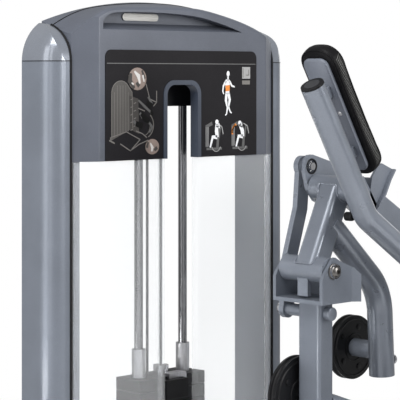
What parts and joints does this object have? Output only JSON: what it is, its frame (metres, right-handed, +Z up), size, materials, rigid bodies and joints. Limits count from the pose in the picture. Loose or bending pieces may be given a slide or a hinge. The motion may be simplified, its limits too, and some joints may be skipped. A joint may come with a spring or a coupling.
{
  "type": "abdominal crunch machine",
  "caption": "Seated abdominal crunch machine: arched weight-stack tower with clear guards, linked swing arms with upper-arm pads, seat, back pad and foot rollers.",
  "frame": {"origin": "on the floor, under the middle of the machine's footprint", "axes": "+Z up, +X along the tower's width from the foot rollers towards the back pad, -Y from the tower towards the user's station"},
  "size_m": [1.3, 0.993, 1.3827],
  "materials": {
    "frame_paint": "silver-grey metallic powder coat, satin",
    "arm_paint": "silver-grey metallic powder coat, satin",
    "cap_gloss": "silver-grey gloss moulding",
    "hood_plastic": "slate-grey moulded plastic",
    "rim_plastic": "dark slate moulded rim",
    "black_paint": "black painted steel inside the tower",
    "badge_metal": "blank brushed badge",
    "placard_print": null,
    "guard_clear": "frosted translucent guard",
    "bright_steel": "polished steel",
    "zinc_steel": "zinc-plated steel",
    "seat_steel": "plain ground steel",
    "stack_iron": "black painted plates",
    "cable_jacket": "black coated cable",
    "black_plastic": "black moulded nylon",
    "black_rubber": "black rubber",
    "foam_roller": "closed-cell foam sleeve",
    "pad_back": "grey moulded back plate",
    "upholstery": "black vinyl upholstery with fine grain"
  },
  "bodies": {
    "machine": {"back_pad": "upholstery", "badge_plate": "badge_metal", "beam_end_caps": "black_plastic", "column_caps": "cap_gloss", "column_left": "frame_paint", "column_right": "frame_paint", "floor_beam_left": "frame_paint", "foot_stand": "frame_paint", "frame_brace": "frame_paint", "frame_pins": "arm_paint", "guide_rods": "bright_steel", "hood_shell": "hood_plastic", "lower_axle": "bright_steel", "main_floor_beams": "frame_paint", "placard": "placard_print", "post": "frame_paint", "rear_upright": "frame_paint", "return_cable": "cable_jacket", "rubber_feet": "black_rubber", "seat_sleeve": "frame_paint", "shroud_left": "guard_clear", "shroud_right": "guard_clear", "slot_rim": "rim_plastic", "stack_buffers": "black_rubber", "stack_cable": "cable_jacket", "tower_cross_members": "black_paint", "tower_floor_beams": "frame_paint", "weight_plates_resting": "stack_iron", "yoke": "frame_paint"},
    "crank": {"crank_pivot_tubes": "arm_paint", "crank_bar": "arm_paint", "crank_tail": "arm_paint"},
    "link": {"link_bar": "arm_paint", "link_pin": "bright_steel"},
    "arms": {"coupler_plates": "arm_paint", "upper_axle": "bright_steel", "coupler_beam": "arm_paint", "arm_far": "arm_paint", "arm_near": "arm_paint", "arm_cross_tube": "arm_paint", "arm_plugs": "black_plastic", "arm_pad_plates": "pad_back", "arm_pad_far": "upholstery", "arm_pad_near": "upholstery", "grip_tubes": "black_rubber"},
    "stack": {"weight_plates_selected": "stack_iron", "weight_top_plate": "stack_iron", "selector_stem": "bright_steel", "carriage_bracket": "zinc_steel", "carriage_damper": "black_rubber"},
    "pin": {"selector_pin": "black_plastic"},
    "tail_wheel": {"tail_pulley": "black_plastic"},
    "post_wheel": {"post_pulley": "black_plastic"},
    "top_wheel": {"top_pulley": "black_plastic"},
    "seat": {"seat_stem": "seat_steel", "seat_cushion": "upholstery"},
    "seat_knob": {"seat_pull_knob": "black_plastic"},
    "roller_far": {"foot_roller_far": "foam_roller"},
    "roller_near": {"foot_roller_near": "foam_roller"}
  },
  "joints": [
    {"name": "crank_swing", "type": "hinge", "parent": "machine", "child": "crank", "pos_m": [-0.194, 0.045, 0.815], "axis": [0, -1, 0], "range_deg": [0, 40]},
    {"name": "arm_swing", "type": "hinge", "parent": "crank", "child": "arms", "pos_m": [-0.113, 0.045, 0.981], "axis": [0, -1, 0], "range_deg": [0, 19.66]},
    {"name": "link_swing", "type": "hinge", "parent": "machine", "child": "link", "pos_m": [-0.177, 0.128, 0.723], "axis": [0, -1, 0], "range_deg": [0, 30.98]},
    {"name": "stack_lift", "type": "slide", "parent": "machine", "child": "stack", "axis": [0, 0, 1], "range_m": [0, 0.282], "deforming": ["stack_cable"]},
    {"name": "pin_pull", "type": "slide", "parent": "stack", "child": "pin", "axis": [0, -1, 0], "range_m": [0, 0.06]},
    {"name": "tail_wheel_turn", "type": "hinge", "parent": "crank", "child": "tail_wheel", "pos_m": [0.051, 0.141, 0.615], "axis": [0, 1, 0], "range_deg": [0, 125]},
    {"name": "post_wheel_turn", "type": "hinge", "parent": "machine", "child": "post_wheel", "pos_m": [-0.182, 0.092, 0.545], "axis": [0, 1, 0], "range_deg": [0, 201]},
    {"name": "top_wheel_turn", "type": "hinge", "parent": "machine", "child": "top_wheel", "pos_m": [-0.2935, 0.418, 1.19], "axis": [-1, 0, 0], "range_deg": [0, 731.22]},
    {"name": "seat_height", "type": "slide", "parent": "machine", "child": "seat", "axis": [0, 0, 1], "range_m": [0, 0.09]},
    {"name": "seat_knob_pull", "type": "slide", "parent": "machine", "child": "seat_knob", "axis": [0, -1, 0], "range_m": [0, 0.012], "stiffness_N_per_m": 1200},
    {"name": "roller_far_turn", "type": "hinge", "parent": "machine", "child": "roller_far", "pos_m": [-0.484, -0.121, 0.22], "axis": [0, 1, 0], "continuous": true},
    {"name": "roller_near_turn", "type": "hinge", "parent": "machine", "child": "roller_near", "pos_m": [-0.484, -0.371, 0.22], "axis": [0, 1, 0], "continuous": true}
  ],
  "couplings": [
    {"joint": "arm_swing", "follows": "crank_swing", "ratio": 0.479},
    {"joint": "link_swing", "follows": "crank_swing", "ratio": 0.762},
    {"joint": "stack_lift", "follows": "crank_swing", "m_per_rad": 0.40107},
    {"joint": "tail_wheel_turn", "follows": "crank_swing", "ratio": 3.1},
    {"joint": "post_wheel_turn", "follows": "crank_swing", "ratio": 5},
    {"joint": "top_wheel_turn", "follows": "crank_swing", "ratio": 18.23}
  ]
}
